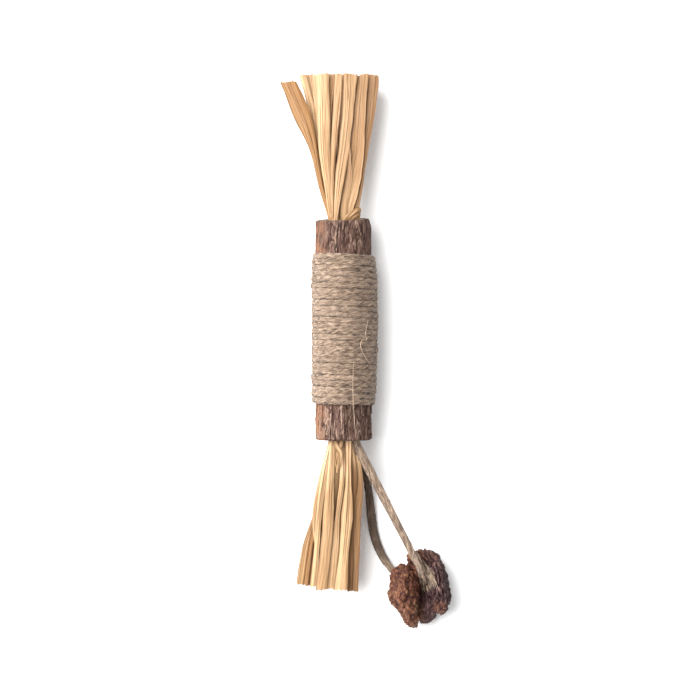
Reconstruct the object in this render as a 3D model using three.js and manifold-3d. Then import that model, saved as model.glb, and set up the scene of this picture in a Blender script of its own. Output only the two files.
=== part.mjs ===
// Silvervine stick: a short cut of silvervine stem wound with jute twine, with a tassel of raffia
// strips in the bore of each end and a dried gall fruit on two lengths of twine.
// Millimetres, +Z up. The stick lies along Y on a level surface at Z = 0. The origin is the point
// where the middle turn of the winding rests on that surface.

import * as THREE from 'three';
import { mergeVertices } from 'three/addons/utils/BufferGeometryUtils.js';
import Module from 'manifold-3d';

// Driving dimensions

const AXIS_HEIGHT = 9.9;

const stick = {
	axisX: - 0.3,
	lowerEnd: - 33.3,
	upperEnd: 32.9,
	barkRadius: 8.3,
	waistRadius: 7.75,
	waistLower: - 23.2,
	waistUpper: 23.6,
	edgeRounding: 0.8,
	boreRadius: 5.2,
	boreDepth: 14,
	ridgeHeight: 0.32,
	ridgeLean: 0.014,
	sides: 44,
};

// The upper end is sawn a little off square: rise per millimetre of X and of Z.
const sawSlant = { x: 0.06, z: - 0.08 };

const winding = {
	turns: 26,
	pitch: 1.712,
	stepsPerTurn: 12,
	twineHeight: 1.3,
	twineWidth: 1.56,
	twineFlat: 0.9,
	endHalfWidth: 9.45,
	endCentreX: - 0.4,
	swellHalfWidth: 0.45,
	swellCentreX: 0.55,
	swellY: 2,
	swellReach: 25,
};

const tassels = {
	upper: {
		name: 'upper_raffia',
		mouthY: stick.upperEnd,
		direction: 1,
		reach: 43.6,
		opening: 90,
		root: { x: - 0.3, halfWidth: 4.7, halfDepth: 4.7 },
		tip: { x: - 1.8, halfWidth: 12.2, halfDepth: 7 },
		rows: [ 3, 4, 5, 4, 3, 3, 2 ],
		widest: 0.2,
		strays: { rows: [ 1, 2 ], shift: - 6.2, from: 20, to: 41 },
		trim: 1.4,
		seed: 3,
	},
	lower: {
		name: 'lower_raffia',
		mouthY: stick.lowerEnd,
		direction: - 1,
		reach: 43.6,
		opening: 12,
		root: { x: - 1.75, halfWidth: 3.35, halfDepth: 4.1 },
		tip: { x: - 4.3, halfWidth: 8.1, halfDepth: 6.6 },
		rows: [ 2, 4, 4, 3, 3, 2, 2 ],
		widest: 0.26,
		strays: { rows: [ 1, 2, 3 ], shift: - 2.3, from: 16, to: 43 },
		trim: 1.8,
		seed: 29,
	},
};

const ribbon = {
	thickness: 0.4,
	sideGap: 0.34,
	rootFold: 0.3,
	tipFold: 0.85,
	depthInBore: 10,
	clearOfMouth: 1.5,
	tipSlant: 0.35,
	segments: 5,
};

const hangingTwine = { diameter: 2.2, sides: 8, step: 4.6 };

// Both hanging lengths leave the right-hand side of the lower bore, one in front of the other.
const frontTwineRoute = [
	[ 3.1, - 25.5, 11.4 ],
	[ 3.1, - 31, 11.4 ],
	[ 3.3, - 34, 11.3 ],
	[ 4.9, - 37.5, 11 ],
	[ 7.3, - 42, 10.6 ],
	[ 10.2, - 47.6, 10.3 ],
	[ 13.2, - 53.4, 10.2 ],
	[ 16.2, - 59.2, 10.6 ],
	[ 18.8, - 64.2, 11.6 ],
	[ 20.7, - 68, 12.6 ],
	[ 22.3, - 71.4, 13.3 ],
	[ 23.5, - 74, 13.4 ],
	[ 24.4, - 76, 13 ],
];

const backTwineRoute = [
	[ 3.1, - 25.5, 8.4 ],
	[ 3.1, - 31, 8.4 ],
	[ 3.6, - 34.4, 8.1 ],
	[ 5, - 38.2, 7.2 ],
	[ 6.2, - 42.6, 5.7 ],
	[ 7.1, - 47.6, 4 ],
	[ 7.7, - 52.6, 2.6 ],
	[ 8.2, - 57.4, 1.6 ],
	[ 8.8, - 61.6, 1.2 ],
	[ 10, - 65.6, 1.2 ],
	[ 11.7, - 69.2, 1.5 ],
	[ 13.6, - 72, 2.1 ],
	[ 15, - 73.6, 2.6 ],
];

// The gall fruit's lumps: centre, half sizes, turn about Z in degrees, fineness of the facets,
// and how far its knobs stand out and how close they lie.
const gallLumps = [
	{ at: [ 18, - 80.4, 7.2 ], half: [ 5, 9.5, 7.4 ], turn: 7, detail: 3, knob: 0.6, close: 5 },
	{ at: [ 28.2, - 77, 7.4 ], half: [ 3.5, 8.6, 7.4 ], turn: 12, detail: 3, knob: 0.3, close: 4 },
	{ at: [ 23.9, - 82.6, 4.6 ], half: [ 4.4, 6.2, 5 ], turn: 0, detail: 2, knob: 0.3, close: 4 },
	{ at: [ 23, - 75, 4.2 ], half: [ 4.8, 6, 4.6 ], turn: 0, detail: 2, knob: 0.2, close: 3 },
	{ at: [ 24.4, - 69.6, 6.2 ], half: [ 4, 3.5, 4.4 ], turn: 0, detail: 2, knob: 0.3, close: 3 },
	{ at: [ 28.6, - 82.7, 8 ], half: [ 2.7, 2.6, 3.2 ], turn: 0, detail: 2, knob: 0.2, close: 3 },
	{ at: [ 20.4, - 69.1, 7 ], half: [ 1.9, 1.7, 1.9 ], turn: 0, detail: 1, knob: 0, close: 0 },
];

// Materials

function finish( color, roughness ) {

	return new THREE.MeshStandardMaterial( { color, roughness, metalness: 0 } );

}

const barkFinish = finish( 0x82665a, 0.8 );
const juteFinish = finish( 0xb1967e, 0.9 );
const paleRaffia = finish( 0xe6c89a, 0.65 );
const tanRaffia = finish( 0xd3ae83, 0.65 );
const amberRaffia = finish( 0xd8ad7a, 0.65 );
const gallFinish = finish( 0x815b4a, 0.85 );

// Helpers

const mix = THREE.MathUtils.lerp;
const { smoothstep } = THREE.MathUtils;

// A fixed scatter between 0 and 1 for each pair of whole numbers.
function scatter( a, b ) {

	const wave = Math.sin( a * 12.9898 + b * 78.233 ) * 43758.5453;
	return wave - Math.floor( wave );

}

function reshape( geometry, place ) {

	const position = geometry.getAttribute( 'position' );
	const point = new THREE.Vector3();

	for ( let i = 0; i < position.count; i ++ ) {

		point.fromBufferAttribute( position, i );
		place( point );
		position.setXYZ( i, point.x, point.y, point.z );

	}

	return geometry;

}

function weld( geometry ) {

	geometry.deleteAttribute( 'normal' );
	geometry.deleteAttribute( 'uv' );
	return mergeVertices( geometry, 1e-4 );

}

function piece( name, geometry, material ) {

	const welded = weld( geometry );
	welded.computeVertexNormals();
	const mesh = new THREE.Mesh( welded, material );
	mesh.name = name;
	return mesh;

}

function polygon( points ) {

	return new THREE.Shape( points.map( ( [ x, y ] ) => new THREE.Vector2( x, y ) ) );

}

// Stick: one piece of wood with its bark, turned as a profile and then given its ridges

function barkRidge( angle ) {

	const broad = 0.4 * Math.sin( 5 * angle + 0.7 );
	const middle = 0.6 * Math.sin( 9 * angle + 2.1 );
	const fine = 0.5 * Math.sin( 14 * angle + 4 );
	return broad + middle + fine;

}

function makeStick() {

	const { lowerEnd, upperEnd, barkRadius, waistRadius, waistLower, waistUpper } = stick;
	const { boreRadius, boreDepth, edgeRounding } = stick;
	const barkMiddle = ( upperEnd - waistUpper ) / 2;
	const profile = [
		[ 0, lowerEnd + boreDepth ],
		[ boreRadius, lowerEnd + boreDepth ],
		[ boreRadius, lowerEnd ],
		[ barkRadius - edgeRounding, lowerEnd ],
		[ barkRadius, lowerEnd + edgeRounding ],
		[ barkRadius, lowerEnd + barkMiddle ],
		[ barkRadius, waistLower ],
		[ waistRadius, waistLower ],
		[ waistRadius, waistUpper ],
		[ barkRadius, waistUpper ],
		[ barkRadius, upperEnd - barkMiddle ],
		[ barkRadius, upperEnd - edgeRounding ],
		[ barkRadius - edgeRounding, upperEnd ],
		[ boreRadius, upperEnd ],
		[ boreRadius, upperEnd - boreDepth ],
		[ 0, upperEnd - boreDepth ],
	].map( ( [ radius, y ] ) => new THREE.Vector2( radius, y ) );

	const geometry = new THREE.LatheGeometry( profile, stick.sides );
	const slantFrom = upperEnd - barkMiddle;

	return reshape( geometry, ( point ) => {

		const radius = Math.hypot( point.x, point.z );
		const angle = Math.atan2( point.z, point.x );
		const slanted = smoothstep( point.y, slantFrom, upperEnd - edgeRounding );

		if ( radius > waistRadius + 0.1 ) {

			const ridge = stick.ridgeHeight * barkRidge( angle + stick.ridgeLean * point.y );
			point.x *= 1 + ridge / radius;
			point.z *= 1 + ridge / radius;

		}

		point.y += slanted * ( sawSlant.x * point.x + sawSlant.z * point.z );
		point.x += stick.axisX;
		point.z += AXIS_HEIGHT;

	} );

}

// Winding: one length of twine in close turns, flat on the side that faces out. One flat of every
// turn is level on the surface below, that of the middle turn at Y = 0. Both ends of the twine lie
// low on the right.

const FULL_TURN = 2 * Math.PI;
const REST_ANGLE = - FULL_TURN / 4;
const HALF_STEP = Math.PI / winding.stepsPerTurn;
const FIRST_ANGLE = REST_ANGLE + 3 * HALF_STEP - winding.turns / 2 * FULL_TURN;

class WindingCurve extends THREE.Curve {

	angleAt( t ) {

		return FIRST_ANGLE + t * winding.turns * FULL_TURN;

	}

	getPoint( t, target = new THREE.Vector3() ) {

		const angle = this.angleAt( t );
		const y = winding.pitch * ( angle - REST_ANGLE ) / FULL_TURN;
		const swell = 0.5 + 0.5 * Math.cos( Math.PI * ( y - winding.swellY ) / winding.swellReach );
		const halfWidth = winding.endHalfWidth + winding.swellHalfWidth * swell;
		const centreX = winding.endCentreX + winding.swellCentreX * swell;
		const sideRadius = halfWidth / Math.cos( HALF_STEP ) - winding.twineHeight / 2;
		const restRadius = AXIS_HEIGHT / Math.cos( HALF_STEP ) - winding.twineHeight / 2;
		const x = centreX + sideRadius * Math.cos( angle );
		return target.set( x, y, AXIS_HEIGHT + restRadius * Math.sin( angle ) );

	}

	getPointAt( u, target ) {

		return this.getPoint( u, target );

	}

	computeFrenetFrames( segments ) {

		const frames = { tangents: [], normals: [], binormals: [] };

		for ( let i = 0; i <= segments; i ++ ) {

			const angle = this.angleAt( i / segments );
			frames.tangents.push( new THREE.Vector3( - Math.sin( angle ), 0, Math.cos( angle ) ) );
			frames.normals.push( new THREE.Vector3( Math.cos( angle ), 0, Math.sin( angle ) ) );
			frames.binormals.push( new THREE.Vector3( 0, 1, 0 ) );

		}

		return frames;

	}

}

function makeWinding() {

	const out = winding.twineHeight / 2;
	const side = winding.twineWidth / 2;
	const flat = winding.twineFlat / 2;
	const section = polygon( [
		[ out, - flat ], [ out, flat ], [ 0, side ], [ - out, flat ], [ - out, - flat ], [ 0, - side ],
	] );

	return new THREE.ExtrudeGeometry( section, {
		steps: winding.turns * winding.stepsPerTurn,
		extrudePath: new WindingCurve(),
		bevelEnabled: false,
	} );

}

// Tassels: the strips lie in rows from front to back. The rows fill a round bundle in the bore,
// which opens to a wide, flatter fan at the tips, so neighbours move apart and never cross.

function stripCells( tassel ) {

	const rowCount = tassel.rows.length;
	const cells = [];

	tassel.rows.forEach( ( count, row ) => {

		const depth = 1 - ( 2 * row + 1 ) / rowCount;
		const reach = Math.sqrt( 1 - depth * depth );
		const weights = [];

		for ( let i = 0; i < count; i ++ ) {

			weights.push( 0.75 + 0.5 * scatter( tassel.seed + row, i ) );

		}

		const total = weights.reduce( ( sum, weight ) => sum + weight, 0 );
		let left = - reach;

		weights.forEach( ( weight, i ) => {

			const span = 2 * reach * weight / total;
			const halfSpan = Math.min( span / 2, tassel.widest );
			const strays = i === 0 && tassel.strays.rows.includes( row );
			cells.push( { across: left + span / 2, depth, halfSpan, strays } );
			left += span;

		} );

	} );

	return cells;

}

function bundleAt( tassel, distance ) {

	const out = Math.max( distance, 0 );
	const along = out / tassel.reach;
	const full = 1 - Math.exp( - tassel.reach / tassel.opening );
	const opened = ( 1 - Math.exp( - out / tassel.opening ) ) / full;
	const lowestRow = 1 - 1 / tassel.rows.length;
	const stripHalfHeight = ( ribbon.thickness + ribbon.tipFold ) / 2;
	const tipHeight = tassel.tip.halfDepth * lowestRow + stripHalfHeight;

	return {
		x: mix( tassel.root.x, tassel.tip.x, along ),
		z: mix( AXIS_HEIGHT, tipHeight, along ),
		halfWidth: mix( tassel.root.halfWidth, tassel.tip.halfWidth, opened ),
		halfDepth: mix( tassel.root.halfDepth, tassel.tip.halfDepth, along ),
		fold: mix( ribbon.rootFold, ribbon.tipFold, along ),
	};

}

// A strip is a flat bar with one crease along it, bent to its cell of the bundle. Its first
// station is down in the bore and the others are spaced evenly from the mouth to the cut tip.

function makeStrip( tassel, cell, index ) {

	const { segments, thickness, sideGap, depthInBore, clearOfMouth, tipSlant } = ribbon;
	const own = tassel.seed + index;
	const length = tassel.reach - tassel.trim * scatter( own, 11 );
	const crease = mix( - 0.45, 0.45, scatter( own, 5 ) );
	const foldSide = scatter( own, 7 ) > 0.5 ? 0.5 : - 0.5;
	const slant = mix( - tipSlant, tipSlant, scatter( own, 13 ) );
	const { from, to, shift } = tassel.strays;
	const geometry = new THREE.BoxGeometry( 2, 1, thickness, 2, segments, 1 );

	return reshape( geometry, ( point ) => {

		const station = Math.round( ( point.y + 0.5 ) * segments );
		const side = Math.round( point.x ) * tassel.direction;
		const outward = ( station - 1 ) / ( segments - 1 );
		const distance = station === 0 ? - depthInBore : mix( clearOfMouth, length, outward );
		const bundle = bundleAt( tassel, distance );
		const halfWidth = bundle.halfWidth * cell.halfSpan - sideGap / 2;
		const stray = cell.strays ? shift * smoothstep( distance, from, to ) : 0;
		const across = side === 0 ? crease : side;
		const fold = side === 0 ? foldSide : - foldSide;
		const cut = station === segments ? slant * side : 0;

		point.x = bundle.x + bundle.halfWidth * cell.across + stray + across * halfWidth;
		point.y = tassel.mouthY + tassel.direction * ( distance + cut );
		point.z += bundle.z + bundle.halfDepth * cell.depth + fold * bundle.fold;

	} );

}

function makeTassel( tassel ) {

	const group = new THREE.Group();

	stripCells( tassel ).forEach( ( cell, i ) => {

		const name = `${ tassel.name }_${ String( i + 1 ).padStart( 2, '0' ) }`;
		const plain = i % 3 === 0 ? tanRaffia : paleRaffia;
		group.add( piece( name, makeStrip( tassel, cell, i ), cell.strays ? amberRaffia : plain ) );

	} );

	return group;

}

// Hanging twine: a round tube along each route

function makeHangingTwine( route ) {

	const corners = [];

	for ( let i = 0; i < hangingTwine.sides; i ++ ) {

		const angle = FULL_TURN * i / hangingTwine.sides;
		const radius = hangingTwine.diameter / 2;
		corners.push( [ radius * Math.cos( angle ), radius * Math.sin( angle ) ] );

	}

	const path = new THREE.CatmullRomCurve3( route.map( ( at ) => new THREE.Vector3( ...at ) ) );

	return new THREE.ExtrudeGeometry( polygon( corners ), {
		steps: Math.round( path.getLength() / hangingTwine.step ),
		extrudePath: path,
		bevelEnabled: false,
	} );

}

// Gall fruit: knobbly lumps grown together, lying flat on the surface below

async function makeGall() {

	const wasm = await Module();
	wasm.setup();

	function toSolid( geometry ) {

		const welded = weld( geometry );

		return new wasm.Manifold( new wasm.Mesh( {
			numProp: 3,
			vertProperties: new Float32Array( welded.getAttribute( 'position' ).array ),
			triVerts: new Uint32Array( welded.getIndex().array ),
		} ) );

	}

	function makeLump( { at, half, turn, detail, knob, close } ) {

		const geometry = new THREE.IcosahedronGeometry( 1, detail );
		const centre = new THREE.Vector3( ...at );
		const size = new THREE.Vector3( ...half );
		const upright = new THREE.Vector3( 0, 0, 1 );

		return reshape( geometry, ( point ) => {

			const across = Math.sin( close * point.x + at[ 0 ] ) * Math.sin( close * point.z + 1 );
			const bump = knob * ( across + Math.sin( close * point.y + at[ 1 ] ) ) / 2;
			const outward = point.clone().multiplyScalar( bump );
			point.multiply( size ).add( outward );
			point.applyAxisAngle( upright, turn * THREE.MathUtils.DEG2RAD ).add( centre );

		} );

	}

	const lumps = gallLumps.map( ( lump ) => toSolid( makeLump( lump ) ) );
	const whole = lumps.reduce( ( sum, lump ) => sum.add( lump ) );
	const [ x, y ] = gallLumps[ 0 ].at;
	const block = 60;
	const belowSurface = new THREE.BoxGeometry( block, block, block ).translate( x, y, - block / 2 );
	const trimmed = whole.subtract( toSolid( belowSurface ) ).getMesh();
	const geometry = new THREE.BufferGeometry();
	geometry.setAttribute( 'position', new THREE.BufferAttribute( trimmed.vertProperties, 3 ) );
	geometry.setIndex( new THREE.BufferAttribute( trimmed.triVerts, 1 ) );
	return geometry;

}

// Assembly

const silvervineStick = new THREE.Group();
silvervineStick.name = 'silvervine_stick';
silvervineStick.add( piece( 'stick', makeStick(), barkFinish ) );
silvervineStick.add( piece( 'twine_winding', makeWinding(), juteFinish ) );
silvervineStick.add( makeTassel( tassels.upper ) );
silvervineStick.add( makeTassel( tassels.lower ) );
silvervineStick.add( piece( 'front_hanging_twine', makeHangingTwine( frontTwineRoute ), juteFinish ) );
silvervineStick.add( piece( 'back_hanging_twine', makeHangingTwine( backTwineRoute ), juteFinish ) );
silvervineStick.add( piece( 'gall_fruit', await makeGall(), gallFinish ) );

export default silvervineStick;
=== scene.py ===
"""Silvervine stick: the looks of a bark-covered stem wound with jute twine, with a raffia tassel in
each end and a dried gall fruit on two hanging lengths of twine, seen from straight above."""

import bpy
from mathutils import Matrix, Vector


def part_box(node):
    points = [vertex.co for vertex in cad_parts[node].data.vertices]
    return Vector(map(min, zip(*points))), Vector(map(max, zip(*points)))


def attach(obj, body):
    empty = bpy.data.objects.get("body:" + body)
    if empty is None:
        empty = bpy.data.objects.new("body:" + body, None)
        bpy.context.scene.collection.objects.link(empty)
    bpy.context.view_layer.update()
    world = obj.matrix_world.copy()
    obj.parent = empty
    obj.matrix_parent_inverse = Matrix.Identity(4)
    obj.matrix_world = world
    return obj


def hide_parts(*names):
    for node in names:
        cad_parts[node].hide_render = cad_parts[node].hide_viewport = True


bl_info = {
    "name": "Silvervine Stick",
    "version": (1, 0, 0),
    "blender": (4, 5, 0),
    "location": "3D View > Sidebar > Silvervine",
    "description": "Builds a wound silvervine stick with raffia tassels and a gall fruit",
    "category": "Add Mesh",
}

import math
from typing import NamedTuple

import bpy
import numpy as np
from bpy.props import FloatProperty, FloatVectorProperty, IntProperty, PointerProperty
from mathutils import Vector, noise

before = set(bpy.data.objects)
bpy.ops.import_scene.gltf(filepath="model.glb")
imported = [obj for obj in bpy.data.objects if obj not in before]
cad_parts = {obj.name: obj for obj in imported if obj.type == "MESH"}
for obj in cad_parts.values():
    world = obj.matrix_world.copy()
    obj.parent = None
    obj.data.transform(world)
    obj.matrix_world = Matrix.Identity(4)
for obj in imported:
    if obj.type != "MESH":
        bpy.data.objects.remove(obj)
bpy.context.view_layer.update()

MM = 0.001
BODY = "root"

# The frame's own boxes, the stick's middle line and its bores

STICK_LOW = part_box("stick")[0]
WINDING_LOW, WINDING_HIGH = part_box("twine_winding")
GALL_LOW, GALL_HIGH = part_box("gall_fruit")
AXIS_X = -0.3 * MM
AXIS_Z = (WINDING_LOW.z + WINDING_HIGH.z) / 2
LOWER_MOUTH_Y = STICK_LOW.y
UPPER_MOUTH_Y = 32.9 * MM
BORE_RADIUS = 5.2 * MM
BORE_DEPTH = 14 * MM

# Where each tassel's bore opens, and which way the tassel points

MOUTHS = {"upper": (UPPER_MOUTH_Y, 1), "lower": (LOWER_MOUTH_Y, -1)}

# How far the strips reach past the mouths, in millimetres. The lower tassel's tips slant.

INNER_REACH, UPPER_REACH, LOWER_REACH, LOWER_SLANT = 43.3, 43.4, 45, 0.12

# The gall fruit's middle fold, its lower knob and its right rim, in millimetres

FOLD_X, FOLD_Y = 23.3, -80.5
KNOB_X, KNOB_Y = 28.6, -83.4
RIM_X, RIM_Y = 31.3, -81.5

# How finely the strips and the single fibres are made

STRIP_COLUMNS, STRIP_ROWS = 24, 66
POINTS_PER_FIBRE = 6

# The hanging twines' routes from inside the lower bore to the gall fruit, in millimetres

FRONT_TWINE_ROUTE = [
    (3.1, -25.5, 11.4), (3.1, -31, 11.4), (3.3, -34, 11.3), (4.9, -37.5, 11), (7.3, -42, 10.6),
    (10.2, -47.6, 10.3), (13.2, -53.4, 10.2), (16.2, -59.2, 10.6), (18.8, -64.2, 11.6),
    (20.7, -68, 12.6), (22.3, -71.4, 13.3), (23.5, -74, 13.4), (24.4, -76, 13),
]
BACK_TWINE_ROUTE = [
    (3.1, -25.5, 8.4), (3.1, -31, 8.4), (3.6, -34.4, 8.1), (5, -38.2, 7.2), (6.2, -42.6, 5.7),
    (7.1, -47.6, 4), (7.7, -52.6, 2.6), (8.2, -57.4, 1.6), (8.8, -61.6, 1.2), (10, -65.6, 1.2),
    (11.7, -69.2, 1.5), (13.6, -72, 2.1), (15, -73.6, 2.6),
]

# Their widths and heights at the same points, in millimetres. The front one thins out on the gall.

FRONT_TWINE_WIDTHS = (2.3, 2.3, 2.6, 2.6, 2.5, 2.3, 2.2, 2.05, 1.95, 1.9, 1.5, 1, 0.5)
FRONT_TWINE_HEIGHTS = (2, 2, 2.1, 2.1, 2, 1.9, 1.9, 1.8, 1.7, 1.4, 1, 0.65, 0.3)
BACK_TWINE_WIDTHS = (2, 2, 1.9, 1.9, 1.9, 2, 2.3, 2.45, 2.45, 2.4, 2.2, 2.1, 2)
BACK_TWINE_HEIGHTS = (1.5, 1.5, 1.5, 1.5, 1.4, 1.4, 1.4, 1.4, 1.4, 1.4, 1.4, 1.4, 1.4)

# The raffia strips that show in front, as they look from above, in millimetres


class Ribbon(NamedTuple):
    """A strip that stands for one of the frame's, at the same height above the floor: its middles
    and widths at the bore's mouth, at each quarter and at its tip, how deep and how amber its
    colour is, how much shorter it is than the others, how far it lies in painted shade, how much
    deeper its colour is at the tip, and how strong the painted shade lines along its left and right
    edges are"""

    middles: tuple
    widths: tuple
    tone: float = 0.3
    amber: float = 0.0
    shorter: float = 0.0
    shaded: float = 0.0
    tip_tone: float = 0.0
    lined: tuple = (1.0, 1.0)


RIBBONS = {
    "upper": {
        1: Ribbon((-4.1, -5, -6.1, -6.4, -6.7), (0.9, 2.1, 3.2, 3.4, 3.6), 0.25, lined=(0.25, 1)),
        2: Ribbon((-3.6, -3.6, -3.25, -2.6, -2), (0.7, 1.1, 1.6, 2.2, 2.3), 0.6),
        3: Ribbon((-2.6, -1.6, -0.1, 1, 1.7), (0.9, 2.5, 3, 3.2, 4), 0.55),
        4: Ribbon((-4.3, -6.9, -8.9, -11.5, -15.6), (0.6, 0.9, 1.2, 2.8, 2.4), 0.1, 1, 2.2),
        5: Ribbon((-3.9, -4, -4.5, -4.6, -3.9), (0.6, 0.8, 1.2, 1.6, 2.8), 0.9, shaded=0.15),
        7: Ribbon((0.4, 2.3, 3.95, 4.7, 5.7), (3.2, 4.4, 3.9, 3.3, 2.8), 0.85, shaded=0.05,
                  lined=(1, 0.1)),
        8: Ribbon((-4.6, -7.4, -9.9, -13.9, -18), (0.6, 0.9, 1.1, 2.9, 2.2), 0.2, 0.85, 2.3),
        9: Ribbon((-3.9, -5.5, -6.8, -8.1, -9.2), (0.7, 1, 1.3, 1.4, 1.7), 0, lined=(0.6, 1)),
        12: Ribbon((3.3, 4.9, 6.4, 7.5, 8.45), (1.2, 1.6, 2.2, 3.2, 3.4), 1, shaded=0.28,
                   lined=(0.3, 1)),
        13: Ribbon((-4.4, -6.5, -8, -9.8, -12.6), (0.8, 1.2, 1.4, 1.9, 2), 0),
        17: Ribbon((-4.1, -5.9, -7.2, -8.8, -10.8), (0.7, 1, 1.2, 1.5, 2.3), 0.1),
    },
    "lower": {
        1: Ribbon((-3.6, -4.15, -4.8, -5.9, -7), (1.5, 2.1, 3.05, 3, 3.1), 0.05, 0.15, -0.7,
                  tip_tone=0.5),
        2: Ribbon((1.2, 1.1, 0.6, -0.2, -1), (1.8, 1.6, 3.2, 2.9, 4), 0.05, 0.15),
        3: Ribbon((-4.2, -6.2, -7.6, -8.4, -9.2), (1, 1.8, 1.7, 1.5, 2.3), 0),
        5: Ribbon((-0.7, -0.75, -2.15, -3.3, -4.35), (1.3, 1.6, 1.35, 2.4, 2.5), 0.05, 0.12),
        6: Ribbon((1.9, 3, 2.4, 1.9, 1.3), (1, 1.6, 1.2, 1, 1.4), 1, 0.3, shaded=0.95),
        7: Ribbon((-4.1, -6.3, -8.5, -10.6, -11.9), (0.8, 1, 1.1, 1.5, 1.6), 0.3, 1.25),
        8: Ribbon((-4.3, -7.3, -9.1, -8.2, -6.4), (0.8, 0.8, 1, 1, 1.2), 0.25),
        9: Ribbon((-1.9, -2.4, -2.9, -4.2, -5), (2, 1.5, 0.9, 0.8, 0.8), 0.5, 0.35, shaded=0.7),
        10: Ribbon((2.6, 4.7, 3.75, 3.25, 2.65), (1.2, 1.7, 2.5, 2.3, 2.7), 1, shaded=0.45,
                   lined=(1, 1.6)),
        11: Ribbon((-4.3, -6.6, -8.9, -12, -13.4), (0.8, 1, 1, 1.6, 2), 0.05, 0.45),
        12: Ribbon((-3.5, -5, -6.8, -7.5, -8.2), (1, 1.4, 2.2, 2.7, 2.7), 0.4, 0.5, shaded=0.1),
        14: Ribbon((-3.9, -6, -8.3, -10, -10.9), (0.9, 1, 1.3, 2, 2), 0.8, 1.8, shaded=0.1),
    },
}

# Short strips folded over at the bores' mouths: name, route, width and tone, in millimetres

FOLDED_STRIPS = (
    ("upper_folded_strip", ((-0.4, 32, 13.4), (1, 33.5, 14.5), (2.5, 34.7, 14.9), (3.7, 35.7, 14.6),
                            (4.4, 35.6, 13.8), (4.3, 34.3, 13), (4, 32, 12.2)), 1.3, 0.7),
    ("upper_tucked_strip", ((1, 32, 13.3), (2.2, 33.1, 14.2), (3.3, 34, 14.3), (4.2, 34.2, 13.6),
                            (4.3, 33.4, 12.9), (4, 32, 12.3)), 1.1, 0.9),
    ("lower_folded_strip", ((-2.9, -32, 13), (-2.5, -34.6, 14), (-1.4, -37, 14.3),
                            (-1.5, -39.3, 14), (-2.3, -43, 12.2)), 1.5, 0.15),
    ("lower_short_strip", ((-0.7, -32, 13.2), (-1.1, -34.4, 13.8), (-2.2, -36.4, 14),
                           (-2.5, -39, 13.7), (-2, -43, 12.2)), 1.3, 0.3),
)

# Settings


def length_setting(name, about, value):
    return FloatProperty(name=name, description=about, default=value, unit="LENGTH")


def power_setting(name, about, value):
    return FloatProperty(name=name, description=about, default=value, unit="POWER")


def colour_setting(name, about, *value):
    return FloatVectorProperty(name=name, description=about, default=value, subtype="COLOR")


class StageSettings(bpy.types.PropertyGroup):
    """The camera, the floor and the lights"""

    lens: FloatProperty(name="Lens", description="Focal length", default=120, unit="CAMERA")
    camera_height: length_setting("Camera height", "Above the floor", 0.71)
    centre: FloatVectorProperty(
        name="View centre", description="Where the camera looks", size=2,
        default=(0.00165, -0.0063), subtype="TRANSLATION", unit="LENGTH",
    )
    key_power: power_setting("Low light", "Power of the low light on the left", 21.5)
    panel_power: power_setting("High light", "Power of the wide light at the upper left", 55)
    room: FloatProperty(
        name="Room light", description="Strength of the light all round", default=0.72
    )
    floor_colour: colour_setting("Floor", "Colour of the floor", 0.99, 0.99, 0.99)


class BarkSettings(bpy.types.PropertyGroup):
    """The stem and its bark"""

    radius: length_setting("Radius", "Mean radius over the bark", 8.3 * MM)
    flake_height: length_setting(
        "Flake height", "How far one flake stands above the next", 0.33 * MM
    )
    crack_depth: length_setting("Crack depth", "Depth of the long cracks", 0.46 * MM)
    columns: IntProperty(name="Columns", description="Faces round the stem", default=440)
    middle: colour_setting("Bark", "Colour of most of the bark", 0.096, 0.054, 0.041)
    pale: colour_setting("Worn bark", "Colour of worn flakes and edges", 0.30, 0.20, 0.15)
    # The cracks' colour also paints the shade at the lower right
    dark: colour_setting("Cracks", "Colour inside the cracks", 0.022, 0.010, 0.007)
    # The inner bark's colour also paints light on the stick's left side
    warm: colour_setting("Inner bark", "Colour of the smooth patches", 0.21, 0.10, 0.055)
    sawn: colour_setting("Sawn wood", "Colour of the sawn ends", 0.19, 0.135, 0.095)
    grain: colour_setting("Sawn grain", "Colour of the sawn ends' grain", 0.08, 0.055, 0.04)


class TwineSettings(bpy.types.PropertyGroup):
    """The jute twine"""

    turns: IntProperty(name="Turns", description="Turns round the stick", default=26)
    pitch: length_setting("Pitch", "From one turn to the next", 1.712 * MM)
    wound_width: length_setting("Wound width", "Of the twine where it is wound", 1.86 * MM)
    wound_height: length_setting("Wound height", "Of the twine where it is wound", 1.62 * MM)
    hanging_width: length_setting("Hanging width", "Mean, of the hanging twines", 2.3 * MM)
    lay: length_setting("Lay", "Length of one full twist of the plies", 6.3 * MM)
    pale: colour_setting("Pale fibre", "Colour of the pale fibres", 0.325, 0.235, 0.168)
    deep: colour_setting("Deep fibre", "Colour of the dark fibres", 0.105, 0.066, 0.044)
    fibres: IntProperty(name="Fibres", description="Single fibres on the winding", default=7000)


class RaffiaSettings(bpy.types.PropertyGroup):
    """The raffia strips"""

    thickness: length_setting("Thickness", "Of one strip", 0.15 * MM)
    fold: length_setting("Fold", "Height of a strip's folds", 0.32 * MM)
    # The cream is painted light, at the lower tassel's roots
    cream: colour_setting("Cream", "Colour of the strips' palest roots", 0.72, 0.48, 0.28)
    pale: colour_setting("Pale", "Colour of the pale strips", 0.53, 0.346, 0.186)
    tan: colour_setting("Tan", "Colour of the darker strips", 0.30, 0.162, 0.074)
    brown: colour_setting("Brown", "Colour of dark lines and shade", 0.114, 0.05022, 0.01332)
    amber: colour_setting("Amber", "Colour of the amber strips", 0.27, 0.133, 0.045)
    rust: colour_setting("Rust", "Colour of the reddish strips", 0.23, 0.092, 0.035)


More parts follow.
